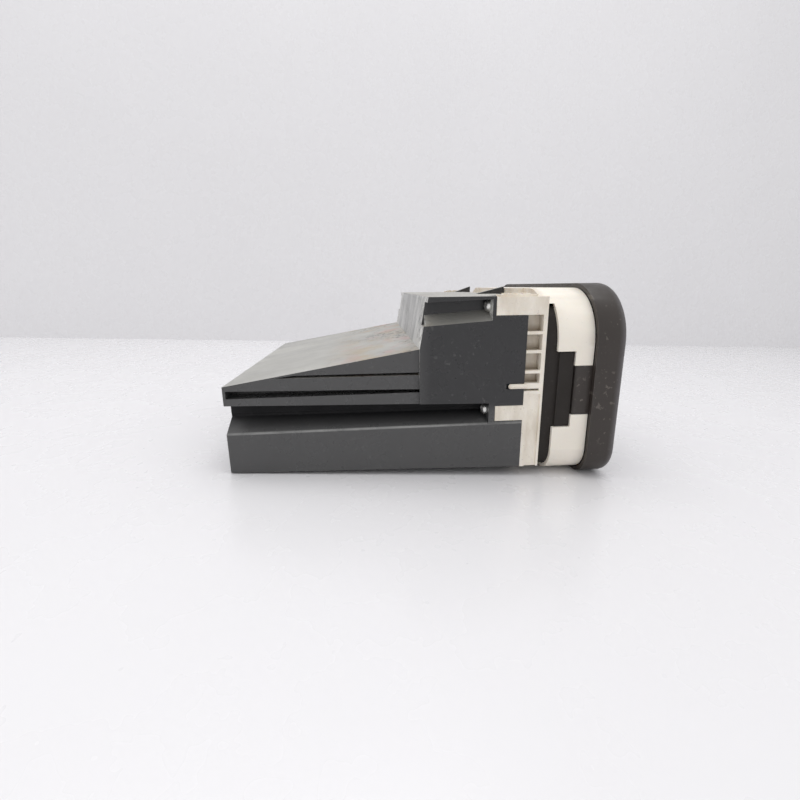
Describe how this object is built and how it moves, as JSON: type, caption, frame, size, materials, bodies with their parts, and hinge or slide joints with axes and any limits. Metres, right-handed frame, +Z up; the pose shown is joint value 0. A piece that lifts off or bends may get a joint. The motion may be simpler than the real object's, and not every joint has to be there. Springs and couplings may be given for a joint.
{
  "type": "air vent",
  "caption": "Dashboard air vent with twin steerable outlets, a geared motor damper, control buttons, clip-on carrier frame and wedge-shaped inlet duct.",
  "frame": {"origin": "bottom centre of the bounding box", "axes": "+Z up, -Y out of the bezel's face, +Y out of the air inlet, X across the vent"},
  "size_m": [0.188, 0.214, 0.1085],
  "materials": {
    "housing_plastic": "moulded, slightly rough",
    "seal_foam": "soft foam",
    "carrier_plastic": "moulded, satin",
    "bezel_plastic": "soft satin",
    "barrel_plastic": "matt",
    "flap_plastic": "matt",
    "steel": "bright drawn",
    "gear_plastic": "natural acetal",
    "actuator_plastic": "matt",
    "zinc": "zinc plated",
    "brass": "bright",
    "board": "solder mask",
    "switch_plastic": "matt",
    "button_plastic": "satin",
    "vane_plastic": "satin",
    "link_plastic": "natural acetal",
    "knob_plastic": "satin"
  },
  "bodies": {
    "housing": {"duct_upper_shell": "housing_plastic", "lower_tray": "housing_plastic", "floor_ramp": "housing_plastic", "inlet_seal": "seal_foam", "carrier_frame": "carrier_plastic", "front_bezel": "bezel_plastic", "left_barrel": "barrel_plastic", "right_barrel": "barrel_plastic", "damper_frame": "barrel_plastic", "damper_motor": "steel", "actuator_case": "actuator_plastic", "actuator_cover": "actuator_plastic", "board_bracket": "actuator_plastic", "connector_socket": "actuator_plastic", "housing_screws": "zinc", "board_screws": "zinc", "connector_pins": "brass", "circuit_board": "board", "tact_switches": "switch_plastic"},
    "damper": {"damper_shaft": "steel", "left_flap": "flap_plastic", "right_flap": "flap_plastic", "left_flap_lips": "seal_foam", "right_flap_lips": "seal_foam", "damper_gear": "gear_plastic"},
    "drive": {"drive_gear": "gear_plastic"},
    "reduction": {"reduction_gear": "gear_plastic"},
    "pinion": {"motor_pinion": "gear_plastic"},
    "left_tilt_vane_1": {"left_tilt_vane_1": "vane_plastic"},
    "left_pan_vane_1": {"left_pan_vane_1": "vane_plastic"},
    "left_tilt_vane_2": {"left_tilt_vane_2": "vane_plastic"},
    "left_pan_vane_2": {"left_pan_vane_2": "vane_plastic"},
    "left_tilt_vane_3": {"left_tilt_vane_3": "vane_plastic"},
    "left_pan_vane_3": {"left_pan_vane_3": "vane_plastic"},
    "left_tilt_vane_4": {"left_tilt_vane_4": "vane_plastic"},
    "left_pan_vane_4": {"left_pan_vane_4": "vane_plastic"},
    "left_tilt_vane_5": {"left_tilt_vane_5": "vane_plastic"},
    "left_pan_vane_5": {"left_pan_vane_5": "vane_plastic"},
    "left_tilt_link": {"left_tilt_link": "link_plastic"},
    "left_pan_link": {"left_pan_link": "link_plastic"},
    "left_knob": {"left_knob": "knob_plastic"},
    "right_tilt_vane_1": {"right_tilt_vane_1": "vane_plastic"},
    "right_pan_vane_1": {"right_pan_vane_1": "vane_plastic"},
    "right_tilt_vane_2": {"right_tilt_vane_2": "vane_plastic"},
    "right_pan_vane_2": {"right_pan_vane_2": "vane_plastic"},
    "right_tilt_vane_3": {"right_tilt_vane_3": "vane_plastic"},
    "right_pan_vane_3": {"right_pan_vane_3": "vane_plastic"},
    "right_tilt_vane_4": {"right_tilt_vane_4": "vane_plastic"},
    "right_pan_vane_4": {"right_pan_vane_4": "vane_plastic"},
    "right_tilt_vane_5": {"right_tilt_vane_5": "vane_plastic"},
    "right_pan_vane_5": {"right_pan_vane_5": "vane_plastic"},
    "right_tilt_link": {"right_tilt_link": "link_plastic"},
    "right_pan_link": {"right_pan_link": "link_plastic"},
    "right_knob": {"right_knob": "knob_plastic"},
    "left_button": {"left_button": "button_plastic"},
    "middle_button": {"middle_button": "button_plastic"},
    "right_button": {"right_button": "button_plastic"}
  },
  "joints": [
    {"name": "damper_turn", "type": "hinge", "parent": "housing", "child": "damper", "pos_m": [0, -0.011, 0.068], "axis": [-1, 0, 0], "range_deg": [0, 80]},
    {"name": "drive_turn", "type": "hinge", "parent": "housing", "child": "drive", "pos_m": [0, -0.011, 0.026], "axis": [-1, 0, 0], "range_deg": [-200.5, 0.5]},
    {"name": "reduction_turn", "type": "hinge", "parent": "housing", "child": "reduction", "pos_m": [0.012, -0.0236, 0.026], "axis": [-1, 0, 0], "range_deg": [-1, 501]},
    {"name": "pinion_turn", "type": "hinge", "parent": "housing", "child": "pinion", "pos_m": [0.016, -0.0362, 0.026], "axis": [-1, 0, 0], "range_deg": [-1252, 2]},
    {"name": "left_tilt_3", "type": "hinge", "parent": "housing", "child": "left_tilt_vane_3", "pos_m": [-0.042, -0.091, 0.068], "axis": [1, 0, 0], "range_deg": [-30, 30]},
    {"name": "left_tilt_1", "type": "hinge", "parent": "housing", "child": "left_tilt_vane_1", "pos_m": [-0.042, -0.091, 0.048], "axis": [1, 0, 0], "range_deg": [-31, 31]},
    {"name": "left_tilt_2", "type": "hinge", "parent": "housing", "child": "left_tilt_vane_2", "pos_m": [-0.042, -0.091, 0.058], "axis": [1, 0, 0], "range_deg": [-31, 31]},
    {"name": "left_tilt_4", "type": "hinge", "parent": "housing", "child": "left_tilt_vane_4", "pos_m": [-0.042, -0.091, 0.078], "axis": [1, 0, 0], "range_deg": [-31, 31]},
    {"name": "left_tilt_5", "type": "hinge", "parent": "housing", "child": "left_tilt_vane_5", "pos_m": [-0.042, -0.091, 0.088], "axis": [1, 0, 0], "range_deg": [-31, 31]},
    {"name": "left_tilt_link_slide", "type": "slide", "parent": "housing", "child": "left_tilt_link", "axis": [0, 0, 1], "range_m": [-0.0032, 0.0032]},
    {"name": "left_knob_slide", "type": "slide", "parent": "left_tilt_vane_3", "child": "left_knob", "axis": [1, 0, 0], "range_m": [-0.006, 0.006]},
    {"name": "left_pan_1", "type": "hinge", "parent": "housing", "child": "left_pan_vane_1", "pos_m": [-0.07, -0.067, 0.068], "axis": [0, 0, 1], "range_deg": [-31, 31]},
    {"name": "left_pan_2", "type": "hinge", "parent": "housing", "child": "left_pan_vane_2", "pos_m": [-0.056, -0.067, 0.068], "axis": [0, 0, 1], "range_deg": [-31, 31]},
    {"name": "left_pan_3", "type": "hinge", "parent": "housing", "child": "left_pan_vane_3", "pos_m": [-0.042, -0.067, 0.068], "axis": [0, 0, 1], "range_deg": [-31, 31]},
    {"name": "left_pan_4", "type": "hinge", "parent": "housing", "child": "left_pan_vane_4", "pos_m": [-0.028, -0.067, 0.068], "axis": [0, 0, 1], "range_deg": [-31, 31]},
    {"name": "left_pan_5", "type": "hinge", "parent": "housing", "child": "left_pan_vane_5", "pos_m": [-0.014, -0.067, 0.068], "axis": [0, 0, 1], "range_deg": [-31, 31]},
    {"name": "left_pan_link_slide", "type": "slide", "parent": "housing", "child": "left_pan_link", "axis": [-1, 0, 0], "range_m": [-0.0032, 0.0032]},
    {"name": "right_tilt_3", "type": "hinge", "parent": "housing", "child": "right_tilt_vane_3", "pos_m": [0.042, -0.091, 0.068], "axis": [1, 0, 0], "range_deg": [-30, 30]},
    {"name": "right_tilt_1", "type": "hinge", "parent": "housing", "child": "right_tilt_vane_1", "pos_m": [0.042, -0.091, 0.048], "axis": [1, 0, 0], "range_deg": [-31, 31]},
    {"name": "right_tilt_2", "type": "hinge", "parent": "housing", "child": "right_tilt_vane_2", "pos_m": [0.042, -0.091, 0.058], "axis": [1, 0, 0], "range_deg": [-31, 31]},
    {"name": "right_tilt_4", "type": "hinge", "parent": "housing", "child": "right_tilt_vane_4", "pos_m": [0.042, -0.091, 0.078], "axis": [1, 0, 0], "range_deg": [-31, 31]},
    {"name": "right_tilt_5", "type": "hinge", "parent": "housing", "child": "right_tilt_vane_5", "pos_m": [0.042, -0.091, 0.088], "axis": [1, 0, 0], "range_deg": [-31, 31]},
    {"name": "right_tilt_link_slide", "type": "slide", "parent": "housing", "child": "right_tilt_link", "axis": [0, 0, 1], "range_m": [-0.0032, 0.0032]},
    {"name": "right_knob_slide", "type": "slide", "parent": "right_tilt_vane_3", "child": "right_knob", "axis": [1, 0, 0], "range_m": [-0.006, 0.006]},
    {"name": "right_pan_1", "type": "hinge", "parent": "housing", "child": "right_pan_vane_1", "pos_m": [0.014, -0.067, 0.068], "axis": [0, 0, 1], "range_deg": [-31, 31]},
    {"name": "right_pan_2", "type": "hinge", "parent": "housing", "child": "right_pan_vane_2", "pos_m": [0.028, -0.067, 0.068], "axis": [0, 0, 1], "range_deg": [-31, 31]},
    {"name": "right_pan_3", "type": "hinge", "parent": "housing", "child": "right_pan_vane_3", "pos_m": [0.042, -0.067, 0.068], "axis": [0, 0, 1], "range_deg": [-31, 31]},
    {"name": "right_pan_4", "type": "hinge", "parent": "housing", "child": "right_pan_vane_4", "pos_m": [0.056, -0.067, 0.068], "axis": [0, 0, 1], "range_deg": [-31, 31]},
    {"name": "right_pan_5", "type": "hinge", "parent": "housing", "child": "right_pan_vane_5", "pos_m": [0.07, -0.067, 0.068], "axis": [0, 0, 1], "range_deg": [-31, 31]},
    {"name": "right_pan_link_slide", "type": "slide", "parent": "housing", "child": "right_pan_link", "axis": [-1, 0, 0], "range_m": [-0.0032, 0.0032]},
    {"name": "left_button_press", "type": "slide", "parent": "housing", "child": "left_button", "axis": [0, 1, 0], "range_m": [0, 0.0012], "stiffness_N_per_m": 1500},
    {"name": "middle_button_press", "type": "slide", "parent": "housing", "child": "middle_button", "axis": [0, 1, 0], "range_m": [0, 0.0012], "stiffness_N_per_m": 1500},
    {"name": "right_button_press", "type": "slide", "parent": "housing", "child": "right_button", "axis": [0, 1, 0], "range_m": [0, 0.0012], "stiffness_N_per_m": 1500}
  ],
  "couplings": [
    {"joint": "drive_turn", "follows": "damper_turn", "ratio": -2.5},
    {"joint": "reduction_turn", "follows": "damper_turn", "ratio": 6.25},
    {"joint": "pinion_turn", "follows": "damper_turn", "ratio": -15.625},
    {"joint": "left_tilt_1", "follows": "left_tilt_3", "ratio": 1},
    {"joint": "left_tilt_2", "follows": "left_tilt_3", "ratio": 1},
    {"joint": "left_tilt_4", "follows": "left_tilt_3", "ratio": 1},
    {"joint": "left_tilt_5", "follows": "left_tilt_3", "ratio": 1},
    {"joint": "left_tilt_link_slide", "follows": "left_tilt_3", "m_per_rad": 0.00585},
    {"joint": "left_pan_1", "follows": "left_knob_slide", "rad_per_m": 86},
    {"joint": "left_pan_2", "follows": "left_knob_slide", "rad_per_m": 86},
    {"joint": "left_pan_3", "follows": "left_knob_slide", "rad_per_m": 86},
    {"joint": "left_pan_4", "follows": "left_knob_slide", "rad_per_m": 86},
    {"joint": "left_pan_5", "follows": "left_knob_slide", "rad_per_m": 86},
    {"joint": "left_pan_link_slide", "follows": "left_knob_slide", "ratio": 0.5},
    {"joint": "right_tilt_1", "follows": "right_tilt_3", "ratio": 1},
    {"joint": "right_tilt_2", "follows": "right_tilt_3", "ratio": 1},
    {"joint": "right_tilt_4", "follows": "right_tilt_3", "ratio": 1},
    {"joint": "right_tilt_5", "follows": "right_tilt_3", "ratio": 1},
    {"joint": "right_tilt_link_slide", "follows": "right_tilt_3", "m_per_rad": 0.00585},
    {"joint": "right_pan_1", "follows": "right_knob_slide", "rad_per_m": 86},
    {"joint": "right_pan_2", "follows": "right_knob_slide", "rad_per_m": 86},
    {"joint": "right_pan_3", "follows": "right_knob_slide", "rad_per_m": 86},
    {"joint": "right_pan_4", "follows": "right_knob_slide", "rad_per_m": 86},
    {"joint": "right_pan_5", "follows": "right_knob_slide", "rad_per_m": 86},
    {"joint": "right_pan_link_slide", "follows": "right_knob_slide", "ratio": 0.5}
  ]
}
